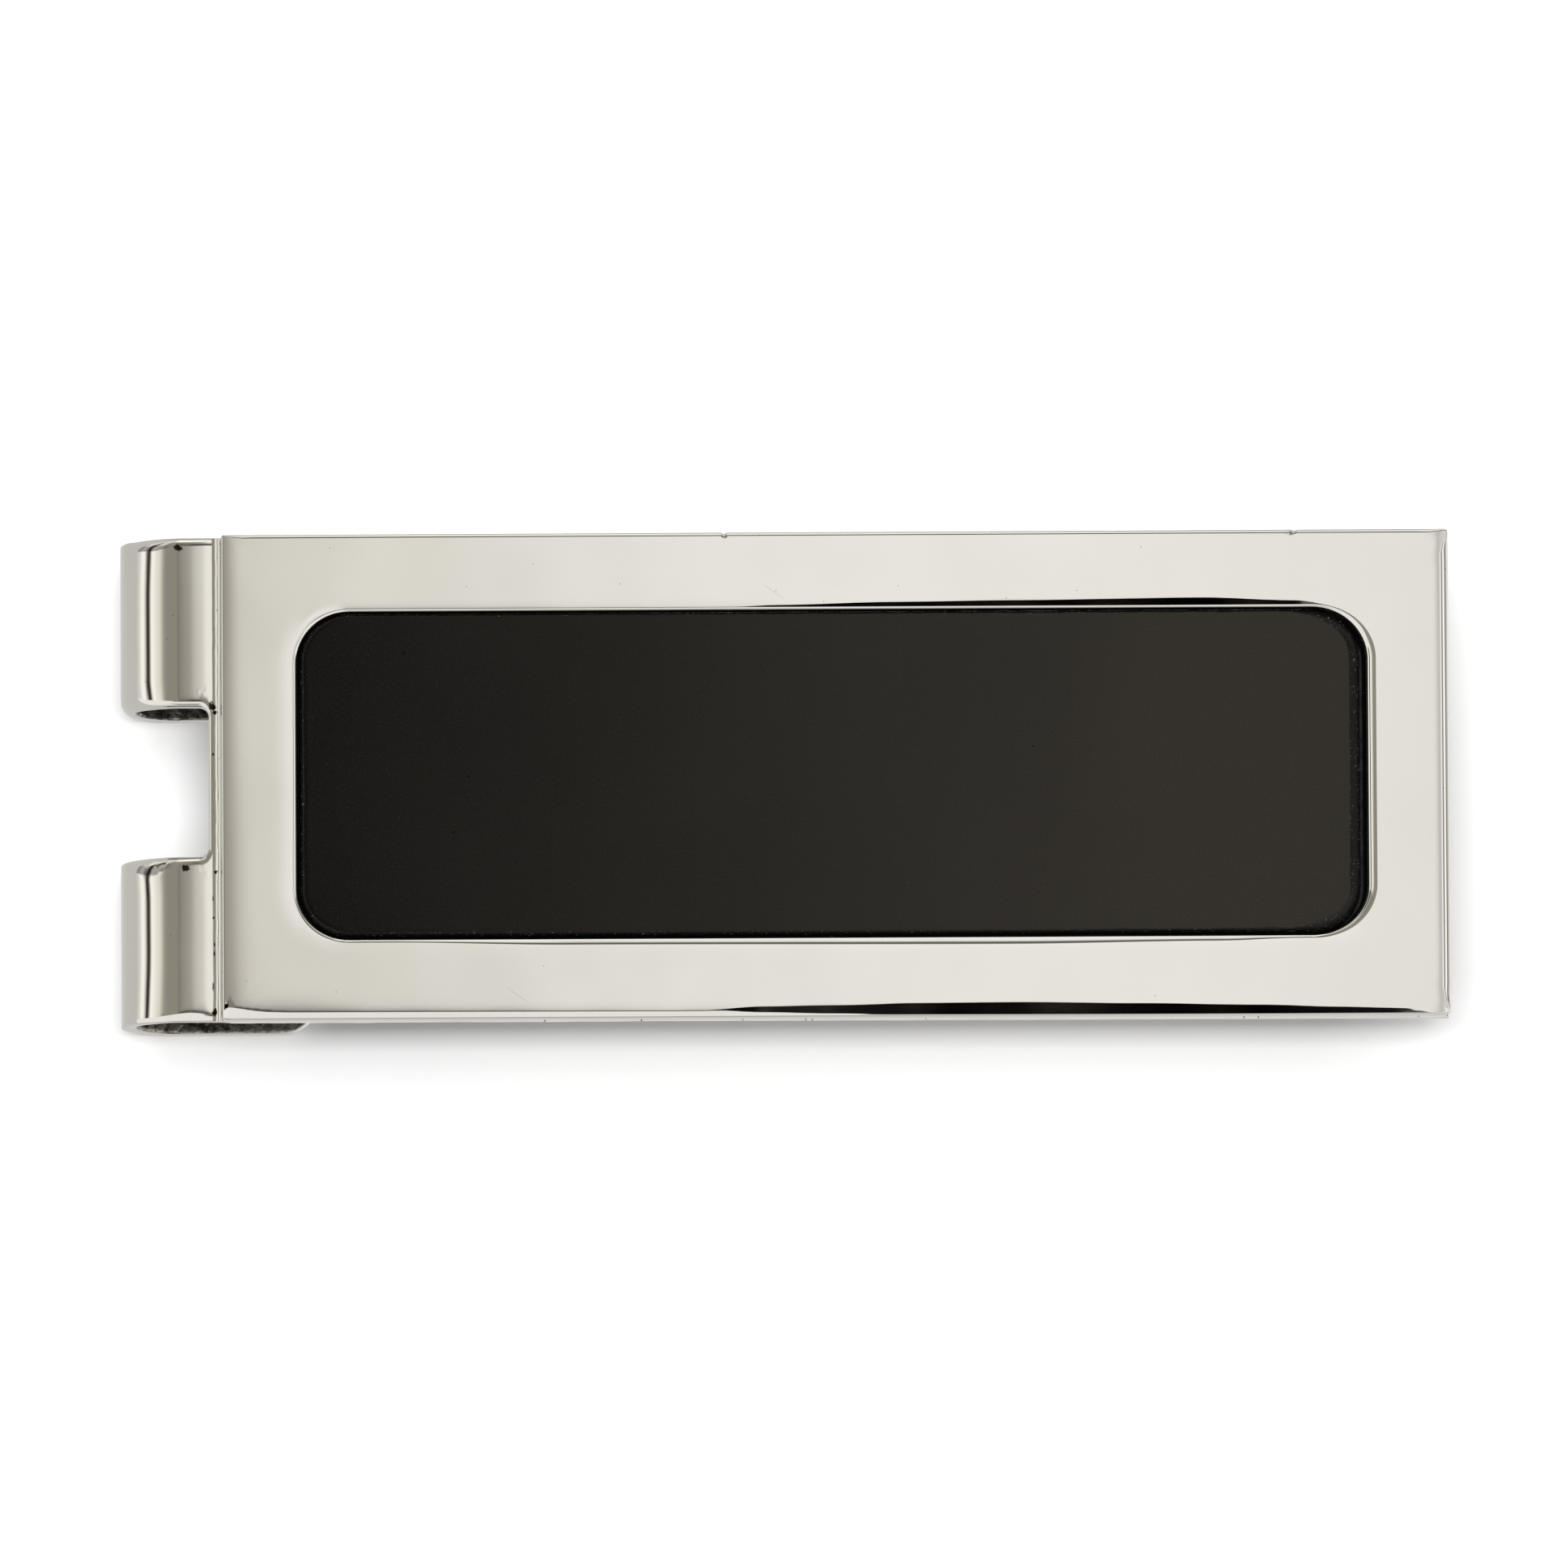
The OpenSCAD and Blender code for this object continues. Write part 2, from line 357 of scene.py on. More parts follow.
def polished_silver(name, color, pits=()):
    """Mirror-polished silver with haze, hairline scratches and specks."""
    m = Nodes(name, color, 1, POLISH[0])
    haze_and_painted_sheen = m.noise(260, 3)
    m.set(m.shader, {"Roughness": m.remap(haze_and_painted_sheen, 0.3, 0.75, *POLISH)})
    tone = m.noise(90, 2)
    darker = tuple(c * 0.975 for c in color)
    base = m.mix(m.remap(tone, 0.35, 0.65, 0, 1), darker, color)
    for place, size, narrow in pits:
        base = m.mix(m.spot(place, size, narrow), base, PIT_COLOR)
    base = m.mix(m.math("MULTIPLY", m.flecks(330, 0.013, 0.5), 0.6), base, SPECK_COLOR)
    for turn, stretch in ((35, 0.05), (-42, 0.035), (-12, 0.06)):
        scratches = m.flecks(420, 0.014, 0.72, (stretch, 1, 1), turn)
        base = m.mix(m.math("MULTIPLY", scratches, 0.22), base, SCRATCH_COLOR)
    m.set(m.shader, {"Base Color": base})
    lines = m.noise(900, 2, stretch=(0.06, 4, 1), turn=4)
    cross = m.noise(1100, 2, stretch=(0.05, 5, 1), turn=-38)
    fine = m.noise(9000, 2)
    height = m.math("ADD", m.math("MULTIPLY", lines, 0.5), m.math("MULTIPLY", cross, 0.3))
    m.bump(m.math("ADD", height, m.math("MULTIPLY", fine, 0.25)), 0.05, 0.004)
    return m.material


def rough_silver():
    """The strip's inner faces: torn and dark inside the fold, fading to a satin grey away from it."""
    m = Nodes("rough_silver", (0.2, 0.185, 0.155), 1, 0.4)
    coarse = m.noise(2600, 4, 0.65)
    along = m.add("SeparateXYZ", {"Vector": m.place}).outputs[0]
    uneven = m.remap(m.noise(500, 3), 0.3, 0.7, -0.12, 0.12)
    satin = m.math("ADD", m.remap(along, -0.021, -0.009, 0, 1), uneven)
    satin = m.remap(satin, 0, 1, 0, 1)
    torn = m.mix(m.remap(coarse, 0.4, 0.72, 0, 1), (0.036, 0.03, 0.022), (0.4, 0.38, 0.34))
    m.set(m.shader, {"Base Color": m.mix(satin, torn, (0.5, 0.485, 0.45))})
    m.set(m.shader, {"Roughness": m.remap(coarse, 0.3, 0.7, 0.46, 0.26)})
    m.bump(m.math("MULTIPLY", coarse, m.remap(satin, 0, 1, 1, 0.06)), 0.8, 0.06)
    return m.material


def solder_metal(color, pits):
    """Bright solder, lumpier than the silver and pitted."""
    m = Nodes("solder", color, 1, 0.08)
    lumps = m.noise(1300, 3)
    holes = m.noise(5200, 2, 0.6)
    dark = m.remap(holes, 0.7, 0.75, 0, 1)
    base = m.mix(dark, color, (0.1, 0.09, 0.07))
    for place, size, narrow in pits:
        base = m.mix(m.spot(place, size, narrow), base, (0.012, 0.01, 0.008))
    m.set(m.shader, {"Base Color": base})
    m.set(m.shader, {"Roughness": m.remap(lumps, 0.3, 0.7, 0.05, 0.12)})
    m.bump(m.math("SUBTRACT", lumps, dark), 0.15, 0.012)
    return m.material


# Pits in the stone's polish as (x, y, size)
STONE_PITS = [(-15.4, 5.05, 0.16), (-12.8, -0.05, 0.15), (-13.4, -2.3, 0.14), (10.1, 1.1, 0.1)]


def black_stone():
    """Polished black stone, with a painted sheen that lightens its colour towards the open end."""
    m = Nodes("black_stone", (0.006, 0.005, 0.004), 0, 0.12)
    m.set(m.shader, {"Specular IOR Level": 0.08, "IOR": 1.54})
    grain = m.noise(14000, 2, 0.7)
    cloud = m.noise(120, 3)
    along = m.add("SeparateXYZ", {"Vector": m.place}).outputs[0]
    # Painted sheen: the colour lightens along X towards the open end; the cloud in it is uneven tone
    haze_and_painted_sheen = m.math("ADD", m.remap(along, -0.020, 0.016, 0, 1), m.remap(cloud, 0.3, 0.7, -0.06, 0.06))
    base = m.mix(haze_and_painted_sheen, (0.0013, 0.0010, 0.0005), (0.0160, 0.0140, 0.0108))
    base = m.mix(m.remap(grain, 0.55, 0.8, 0, 0.35), base, (0.032, 0.029, 0.024))
    base = m.mix(m.remap(grain, 0.45, 0.2, 0, 0.5), base, (0.001, 0.0008, 0.0006))
    for x, y, size in STONE_PITS:
        base = m.mix(m.spot((x, y, STONE_HIGH.z), size), base, (0.0004, 0.0003, 0.0003))
    m.set(m.shader, {"Base Color": base})
    m.set(m.shader, {"Roughness": m.remap(grain, 0.3, 0.7, 0.1, 0.18)})
    m.bump(grain, 0.06, 0.004)
    return m.material


def ground_edge():
    """The stone's bevel: ground but not polished, with pale specks that are partly grit and partly painted
    glints.
    """
    black = (0.003, 0.0028, 0.0025)
    m = Nodes("ground_edge", black, 0, 0.3)
    m.set(m.shader, {"Specular IOR Level": 0.2})
    grit_and_painted_glints = m.noise(11000, 3, 0.7)
    # Pale specks: partly grit, partly painted glints
    specks = m.remap(grit_and_painted_glints, 0.64, 0.7, 0, 1)
    m.set(m.shader, {"Base Color": m.mix(specks, black, (0.2, 0.19, 0.17))})
    m.bump(grit_and_painted_glints, 0.5, 0.02)
    return m.material


def black_adhesive():
    """Glossy black cement with ripples and a few pale specks."""
    black = (0.003, 0.003, 0.003)
    m = Nodes("black_adhesive", black, 0, 0.22)
    m.set(m.shader, {"Specular IOR Level": 0.3})
    ripple = m.noise(1800, 3)
    specks = m.remap(m.noise(6500, 2, 0.6), 0.74, 0.78, 0, 1)
    m.set(m.shader, {"Base Color": m.mix(specks, black, (0.09, 0.085, 0.08))})
    m.set(m.shader, {"Roughness": m.remap(ripple, 0.3, 0.7, 0.14, 0.34)})
    m.bump(ripple, 0.4, 0.03)
    return m.material


def pale_floor():
    m = Nodes("pale_floor", (FLOOR_LEVEL,) * 3, 0, 0.9)
    m.set(m.shader, {"Specular IOR Level": 0.1})
    paper = m.noise(300, 2)
    m.set(m.shader, {"Base Color": m.mix(paper, (FLOOR_LEVEL - 0.005,) * 3, (FLOOR_LEVEL + 0.005,) * 3)})
    return m.material


SILVER = polished_silver("polished_silver", SILVER_COLOR)
# Pits as (place, size, how much narrower along X), all at the level of the leaf's top
STRIP_PITS = [
    ((-24.58, 9.56, LEAF_TOP), 0.32, 0.9),
    ((-24.3, -3.56, LEAF_TOP), 0.3, 0.9),
]
SEAM_PITS = [
    ((-23.2, 3.06, LEAF_TOP), 0.36, 1.2),
    ((-23.1, 2.78, LEAF_TOP), 0.2, 1.2),
    ((-23.17, 1.1, LEAF_TOP), 0.16, 2),
    ((-23.08, -3.74, LEAF_TOP), 0.16, 1.4),
    ((-23.2, -4.78, LEAF_TOP), 0.26, 5),
    ((-23.18, -5.6, LEAF_TOP), 0.14, 1.5),
    ((-23.14, -6.66, LEAF_TOP), 0.2, 4),
    ((-23.15, -7.05, LEAF_TOP), 0.24, 5),
    ((-23.2, -8.4, LEAF_TOP), 0.4, 6),
    ((-23.14, -9.45, LEAF_TOP), 0.3, 1.3),
]
STRIP_SILVER = polished_silver("strip_silver", SILVER_COLOR, STRIP_PITS + SEAM_PITS)
ROUGH = rough_silver()
SOLDER = solder_metal(SILVER_COLOR, SEAM_PITS)
STONE = black_stone()
GROUND = ground_edge()
ADHESIVE = black_adhesive()


# ---------------------------------------------------------------- face frame
# Edge radii of the frame's sides in the order near, open end, far, fold end
OUTER_R = (0.07, 0.33, 0.17, 0.08)
RIM_FAR_R, RIM_RIGHT_R, RIM_LEFT_R = 0.14, 0.46, 0.19
# How far the window's ends stand in from where a plain outline would put them
RIGHT_LIP, LEFT_LIP = 0.13, 0.05
# Nicks in the far edge as (x, depth), and how far each reaches to either side
FAR_NICKS = [(-2.4, 0.05), (20.8, 0.04)]
NICK_REACH = 0.11
# The near rim is a chamfer, rounded only as far as this
NEAR_RIM_DEG = 38
# The buffed bands' slopes in degrees
NEAR_BAND_DEG, NEAR_STEEP_DEG, NEAR_WORN_DEG = 6.7, 8, 3.2
FOLD_END_DEG, OPEN_END_DEG = 0.95, 2.5
RIM_BAND_DEG, RIM_FAR_WORN_DEG, RIM_NEAR_WORN_DEG, RIM_LEFT_WORN_DEG = 6.6, 2.6, 0.55, 0.5


def rolled_off(distance, width, slope):
    """How far a buffed band with an even slope has been taken down at a distance from its edge."""
    blend = 0.1 * width + 0.012
    inside = width - distance
    if width <= 0 or inside <= -blend:
        return 0
    fall = inside if inside >= blend else (inside + blend) ** 2 / (4 * blend)
    return fall * math.tan(math.radians(slope))


def buffed(distance, width, slope):
    """The same for a band that steepens gently towards its edge."""
    if distance >= width:
        return 0
    steep = math.tan(math.radians(slope))
    return steep * width / 3 * (1 - max(distance, 0) / width) ** 3 + steep * max(-distance, 0)


def near_bands(x):
    """Widths of the steep and the shallow band along the face's near edge."""
    steep = ease(x, [
        (-22.9, 0.22), (-22.5, 0.42), (-22.1, 0.36), (-21.4, 0.24), (-20.6, 0.19),
        (-3, 0.16), (-0.9, 0.09), (1.8, 0.03), (4, 0),
    ])
    shallow = ease(x, [
        (-3.5, 0), (-0.9, 0.26), (1.8, 0.36), (5.1, 0.46), (9.4, 0.48),
        (14.3, 0.41), (19.3, 0.32), (22.6, 0.22), (25.2, 0.15), (25.9, 0),
    ])
    return steep, shallow


def rim_band(x):
    """Width of the shallow band beside the window's far edge."""
    return ease(x, [(-2, 0), (-0.2, 0.08), (4.4, 0.18), (9.4, 0.23), (17, 0.3), (20.9, 0.16), (22, 0)])


def rim_near_r(x):
    return ease(x, [(-16, 0.12), (-8.8, 0.26), (9.4, 0.33), (17.6, 0.23), (20.9, 0.12)])


def window_distance(x, y):
    """Distance from the window's outline, positive on the metal."""
    dx = abs(x - WINDOW_MID_X) - (WINDOW_L / 2 - WINDOW_R)
    dy = abs(y) - (WINDOW_W / 2 - WINDOW_R)
    return math.hypot(max(dx, 0), max(dy, 0)) + min(max(dx, dy), 0) - WINDOW_R


def face_level(x, y):
    """The face's level: flat, with faint waves and with its edges buffed down."""
    near, left, right = y + EDGE - OUTER_R[0], x - FRAME_LOW.x - OUTER_R[3], FRAME_HIGH.x - x - OUTER_R[1]
    window = window_distance(x, y)
    steep, shallow = near_bands(x)
    worn = 1 - smooth((x + 4.5) / 4)
    drop = rolled_off(near, steep + shallow, NEAR_BAND_DEG) + rolled_off(near, steep, NEAR_STEEP_DEG)
    drop += worn * buffed(near - min(steep, 0.2), 0.7 + 0.5 * smooth((-17 - x) / 4), NEAR_WORN_DEG)
    drop += buffed(left, ease(y, [(-8, 1.4), (9, 0.85)]), FOLD_END_DEG) + buffed(right, 0.35, OPEN_END_DEG)
    beside = 1 - smooth((abs(x - WINDOW_MID_X) - WINDOW_L / 2 + 0.8) / 0.8)
    if y > 0:
        drop += beside * rolled_off(window - RIM_FAR_R, rim_band(x), RIM_BAND_DEG)
        drop += beside * (1 - smooth((x + 3) / 3)) * buffed(window - RIM_FAR_R, 0.4, RIM_FAR_WORN_DEG)
    else:
        drop += beside * buffed(window - rim_near_r(x), 0.8, RIM_NEAR_WORN_DEG)
    if x < WINDOW_MID_X:
        drop += (1 - beside) * buffed(window - RIM_LEFT_R, 0.9, RIM_LEFT_WORN_DEG)
    waves = 0.003 * wave(x, y, 6.5, 1) + 0.001 * wave(x, y, 2.6, 2)
    return FRAME_TOP - 0.004 - drop + waves


def side_stations(half_l, half_w, in_l, in_w, r, places, steps=10):
    """Matched (outer, inner, inner's outward direction) stations along the side below the middle."""
    stations = []

    def add_station(out, centre_x, direction):
        inner = (centre_x + r * direction[0], -in_w + r + r * direction[1])
        stations.append(((out, -half_w), inner, direction))

    for k in range(steps):
        a = math.radians(225 + 45 * k / steps)
        out = lerp(-half_l, -in_l + r, (k / steps) ** 2.2)
        add_station(out, -in_l + r, (math.cos(a), math.sin(a)))
    for x in places:
        stations.append(((x, -half_w), (x, -in_w), (0, -1)))
    for k in range(1, steps):
        a = math.radians(270 + 45 * k / steps)
        out = lerp(half_l, in_l - r, (1 - k / steps) ** 2.2)
        add_station(out, in_l - r, (math.cos(a), math.sin(a)))
    return stations


def turned(p, quarter):
    x, y = p
    return [(x, y), (-y, x), (-x, -y), (y, -x)][quarter]


def rim_radius(direction, x):
    """The window's rim radius where the metal lies in a direction from it."""
    dx, dy = direction
    along_x = RIM_RIGHT_R if dx > 0 else RIM_LEFT_R
    along_y = RIM_FAR_R if dy > 0 else rim_near_r(x)
    return dx * dx * along_x + dy * dy * along_y


def round_corner(x, y):
    """Moves a point near a corner of the frame's plan in to round that corner off."""
    right = x > FRAME_MID_X
    r = (0.28 if right else 0.1) if y < 0 else (0.16 if right else 0.08)
    cx, cy = (FRAME_HIGH.x - r if right else FRAME_LOW.x + r), math.copysign(EDGE - r, y)
    dx, dy = x - cx, y - cy
    if (dx > 0) != right or dx == 0 or dy * y <= 0:
        return x, y
    scale = max(abs(dx), abs(dy)) / math.hypot(dx, dy)
    return cx + dx * scale, cy + dy * scale


def build_face_frame():
    half_l, half_w = (FRAME_HIGH.x - FRAME_LOW.x) / 2, EDGE
    in_l, in_w, r = WINDOW_L / 2, WINDOW_W / 2, WINDOW_R
    long_places = span(-in_l + r, in_l - r, 0.25)
    short_places = span(-in_w + r, in_w - r, 0.3)
    nick_places = [FRAME_MID_X - n + d for n, _ in FAR_NICKS for d in (-0.12, -0.06, 0, 0.06, 0.12)]
    far_places = sorted(set(long_places + nick_places))
    face_steps = [
        0.02, 0.05, 0.08, 0.11, 0.14, 0.17, 0.2, 0.24, 0.28,
        0.32, 0.36, 0.4, 0.45, 0.5, 0.56, 0.65, 0.8, 1.0,
    ]
    foot, arc_steps = FRAME_LOW.z, 8
    columns = []
    for quarter in range(4):
        along = quarter % 2 == 0
        places = (far_places if quarter == 2 else long_places) if along else short_places
        sizes = (half_l, half_w, in_l, in_w) if along else (half_w, half_l, in_w, in_l)
        for outer, inner, direction in side_stations(*sizes, r, places):
            def outer_at(d):
                u, v = sizes[0], sizes[1]
                x, y = turned((outer[0] * (u - d) / u, -(v - d)), quarter)
                return x + FRAME_MID_X, y

            def inner_at(d):
                x, y = turned((inner[0] + direction[0] * d, inner[1] + direction[1] * d), quarter)
                x += WINDOW_MID_X
                return x - RIGHT_LIP * smooth((x - 18) / 3.5) + LEFT_LIP * smooth((-16.5 - x) / 2), y

            x0 = outer_at(0)[0]
            side_r = ease(x0, [(-1, 0.07), (20, 0.025)]) if quarter == 0 else OUTER_R[quarter]
            edge_r = lerp(0.09, side_r, smooth((sizes[0] - abs(outer[0])) / 0.7))
            rim_r = rim_radius(turned(direction, quarter), inner_at(0)[0])
            dent = 0
            if quarter == 2:
                dent = sum(depth * max(0, 1 - abs(x0 - n) / NICK_REACH) for n, depth in FAR_NICKS)
            column = []
            for z in (foot, foot + 0.04, (foot + FRAME_TOP) / 2, FRAME_TOP - 0.5):
                x, y = outer_at(0.02 if z == foot else 0)
                column.append((x, y, z))
            top_edge = face_level(*outer_at(edge_r))
            for k in range(arc_steps + 1):
                a = math.radians(90 * k / arc_steps)
                x, y = outer_at(edge_r * (1 - math.cos(a)) + dent)
                column.append((x, y, top_edge - edge_r * (1 - math.sin(a)) - dent * 0.5))
            for d in face_steps:
                x, y = outer_at(edge_r + d + dent)
                column.append((x, y, face_level(x, y)))
            a, b = outer_at(edge_r + 1.0), inner_at(rim_r + 1.0)
            for t in (0.25, 0.5, 0.75):
                x, y = lerp(a[0], b[0], t), lerp(a[1], b[1], t)
                column.append((x, y, face_level(x, y)))
            for d in face_steps[::-1] + [0]:
                x, y = inner_at(rim_r + d)
                column.append((x, y, face_level(x, y)))
            rim, facing = face_level(*inner_at(rim_r)), turned(direction, quarter)[1]
            last = lerp(90, NEAR_RIM_DEG, min(facing, 0) ** 2)
            big_r = rim_r / math.sin(math.radians(last))
            for k in range(1, arc_steps + 1):
                a = math.radians(last * k / arc_steps)
                x, y = inner_at(rim_r - big_r * math.sin(a))
                column.append((x, y, rim - big_r * (1 - math.cos(a))))
            for z in (FRAME_TOP - 0.7, foot + 0.02, foot):
                x, y = inner_at(0.02 if z == foot else 0)
                column.append((x, y, z))
            columns.append([(*round_corner(x, y), z) for x, y, z in column])
    make_piece("polished_bezel", ring(columns), [SILVER], "front", ["face_frame"])


# ---------------------------------------------------------------- stone and what holds it
def build_stone():
    # The stone sits off centre in the window, so the gap is widest at the open end and the near side
    gap_left, gap_right, gap_far, gap_near = 0.18, 0.33, 0.08, 0.16
    centre = WINDOW_MID_X + (gap_left - gap_right) / 2
    length, breadth = WINDOW_L - gap_left - gap_right, WINDOW_W - gap_far - gap_near
    outline = round_rect(centre, length, breadth, WINDOW_R - 0.15, spacing=0.3)
    outline = [(x, y + (gap_near - gap_far) / 2) for x, y in outline]
    inward = inward_normals(outline)
    low, high = STONE_LOW.z, STONE_HIGH.z

    def bevel(i):
        x, y = outline[i]
        # The bevel is much wider at the open end, and a little wider on the near side and at the fold end
        side = smooth((x - 20.4) / 2) * 0.32
        side += smooth((-y - 5.6) / 0.8) * 0.05 + smooth((-17.5 - x) / 1.5) * 0.05
        width = 0.09 + side + 0.02 * wave(x, y, 1.4, 5) + 0.01 * wave(x, y, 0.35, 6)
        chip = 0.05 * max(0, wave(x, y, 0.5, 8) - 0.42)
        width += chip * 3
        drop = 0.14 + 0.6 * side
        return [
            (0, high - drop - 0.05),
            (0.015, high - drop),
            (width * 0.5, high - drop * 0.52),
            (width - 0.01, high - 0.018),
            (width + 0.01, high - 0.002),
            (width + 0.03, high),
            (width + 0.2, high),
        ]

    bm = plate(outline, inward, bevel, lambda i: round_edge(0.06, low, False, 3))
    cut(bm, 0, span(STONE_LOW.x + 1, STONE_HIGH.x - 1, 0.9))
    cut(bm, 1, span(-5.6, 5.6, 0.9))
    for v in bm.verts:
        if v.co.z > high - 0.002:
            v.co.z += 0.0016 * wave(v.co.x, v.co.y, 5, 11)

    def pick(centre, normal):
        return 0 if normal.z > 0.985 and centre.z > high - 0.02 else 1

    make_piece("black_stone_slab", bm, [STONE, GROUND], "front", ["stone_inlay"], pick)


def build_adhesive():
    outline = round_rect(WINDOW_MID_X, WINDOW_L - 0.02, WINDOW_W - 0.02, WINDOW_R - 0.01, spacing=0.3)
    inward = inward_normals(outline)
    bed, rise, floor = LEAF_TOP + 0.002, BED_HIGH.z, STONE_LOW.z - 0.005

    def meniscus(i):
        x, y = outline[i]
        level = rise - 0.14 + 0.07 * wave(x, y, 1.7, 21) + 0.03 * wave(x, y, 0.5, 22)
        return [
            (0, level + 0.12),
            (0.02, level + 0.06),
            (0.07, level),
            (0.13, level + 0.01),
            (0.175, level + 0.06),
            (0.185, level - 0.3),
            (0.185, floor + 0.03),
            (0.2, floor),
            (0.5, floor),
        ]

    bm = plate(outline, inward, meniscus, lambda i: [(0, bed + 0.03), (0.02, bed), (0.2, bed)])
    make_piece("cement_bed", bm, [ADHESIVE], "front", ["adhesive_bed"])


# ---------------------------------------------------------------- solder
# How far the film reaches in from the frame's outline
FILM_W = 2.1


def build_solder_film():
    half_l, half_w = (FRAME_HIGH.x - FRAME_LOW.x) / 2, EDGE
    low, high = LEAF_TOP, FRAME_LOW.z
    outer = [(-half_l, -half_w), (half_l, -half_w), (half_l, half_w), (-half_l, half_w)]
    columns = []
    for i, p in enumerate(outer):
        q = outer[(i + 1) % 4]
        for x, y in [p] + straight(p, q, 0.35):
            bulge = 0.012 + 0.012 * wave(x, y, 0.9, 31)
            section = [
                (FILM_W, low),
                (0.03, low),
                (-bulge, lerp(low, high, 0.3)),
                (-bulge, lerp(low, high, 0.7)),
                (0.03, high),
                (FILM_W, high),
            ]
            column = []
            for inset, z in section:
                out_x, out_y = x * (half_l - inset) / half_l, y * (half_w - inset) / half_w
                column.append((*round_corner(FRAME_MID_X + out_x, out_y), z))
            columns.append(column)
    make_piece("solder_line", ring(columns), [SOLDER], "front", ["solder_film"])


def build_solder_fillet():
    """A smooth concave bead along the foot of the frame's fold end."""
    foot, wall, low = FILLET_LOW.x, FILLET_HIGH.x, FILLET_LOW.z
    steps = 14
    bm = bmesh.new()
    rows = []
    for y in span(-EDGE + 0.03, EDGE - 0.03, 0.05):
        reach = (wall - foot) * (1.18 + 0.06 * wave(0, y, 3.1, 41) + 0.04 * wave(0, y, 0.9, 42))
        rise = reach * (0.9 + 0.04 * wave(3, y, 1.9, 43))
        row = []
        for k in range(steps + 1):
            a = math.radians(90 * k / steps)
            x, z = wall - reach * (1 - math.sin(a)), low + rise * (1 - math.cos(a))
            rough = 0.004 * wave(x * 3, y, 0.5, 44) * math.sin(2 * a)
            row.append(bm.verts.new((x + rough, y + STRIP_SHIFT / 2, z - rough)))
        for x, z in ((wall + 0.03, low + rise), (wall + 0.03, low - 0.03), (wall - reach, low - 0.03)):
            row.append(bm.verts.new((x, y + STRIP_SHIFT / 2, z)))
        rows.append(row)
    for a, b in zip(rows, rows[1:]):
        for k in range(len(a)):
            n = (k + 1) % len(a)
            bm.faces.new((a[k], b[k], b[n], a[n]))
    bm.faces.new(rows[0])
    bm.faces.new(rows[-1])
    make_piece("solder_bead", bm, [SOLDER], "front", ["solder_fillet"])


# ---------------------------------------------------------------- spring strip
# In this section s runs along the strip from the fold: past 0 along the leaf, below 0 round the bends
LAND_END = FRAME_LOW.x - FOLD_X - 0.42
LAND_SLOPES = [(-1.6, 0), (0, 1.25), (0.34, 0.8), (0.74, 0.15), (1.0, -0.05), (1.24, -0.85), (1.38, -1.0)]


def land(s):
    """Height of the strip's slightly domed land beside the solder, from the flat it would be."""
    height, step = 0, 0.04
    place = max(s, LAND_SLOPES[0][0])
    while place < LAND_END:
        height -= step * math.tan(math.radians(ease(place, LAND_SLOPES)))
        place += step
    return height


def bow(s, y):
    """How far the bends stand out or in along their length, as bending by hand leaves them."""
    rise = smooth((-0.3 - s) / 1.4) * (1 - smooth((-1.9 - s) / 1.4))
    across = ease(y, [
        (-9.9, 1), (-7, 0.1), (-5, 0.2), (-3.3, 1),
        (3.1, -1), (4.2, 0), (7.5, 0.1), (9.9, -0.6),
    ])
    return 0.04 * rise * across


def strip_edge(s, y, nx, ny):
    """Width, depth, steep band and worn band of the rounding at a point of the strip's outer edge."""
    outside = abs(y) > EDGE - 0.01
    if outside and s > 1.9:
        return 0.03, 0.03, 0, 0
    if outside and y < 0:
        width = ease(s, [(-5.6, 0.2), (-3.6, 0.05)])
        steep = ease(s, [(-2.7, 0), (-1.2, 0.12), (0.6, 0.3), (1.5, 0.12)])
        kind = (width, width, steep, ease(s, [(-2.9, 0), (-1.7, 0.5)]))
    elif outside:
        width = ease(s, [
            (-5.6, 0.2), (-3.3, 0.1), (-2.5, 0.2), (-1.7, 0.5),
            (-0.9, 0.55), (0, 0.38), (1.4, 0.36),
        ])
        kind = (width, min(width, 0.42), 0, 0)
    elif ny > 0:
        width = ease(s, [(-5.6, 0.2), (-2.6, 0.55), (-0.8, 0.34), (0, 0.26)])
        kind = (width, min(width, 0.45), 0, ease(s, [(-5.6, 0), (-2.6, 0.45)]))
    else:
        width = ease(s, [
            (-5.6, 0.2), (-3.3, 0.12), (-2.5, 0.3), (-1.6, 0.75),
            (-1, 0.95), (-0.3, 0.5), (0.3, 0.36),
        ])
        kind = (width, min(width, 0.42), 0, 0)
    ledge = (0.14, 0.14, 0, 0)
    share = nx * nx / (nx * nx + ny * ny)
    return tuple(lerp(a, b, share) for a, b in zip(kind, ledge))


def squared_ends(outline, inward, place):
    """The inward directions with those at the strip's square joint ends, at a place, set straight across."""
    ends = {
        (place, -EDGE): (0, 1),
        (place, EDGE): (0, -1),
        (place, SLOT_HIGH): (0, 1),
        (place, SLOT_LOW): (0, -1),
    }
    return [ends.get(p, n) for p, n in zip(outline, inward)]


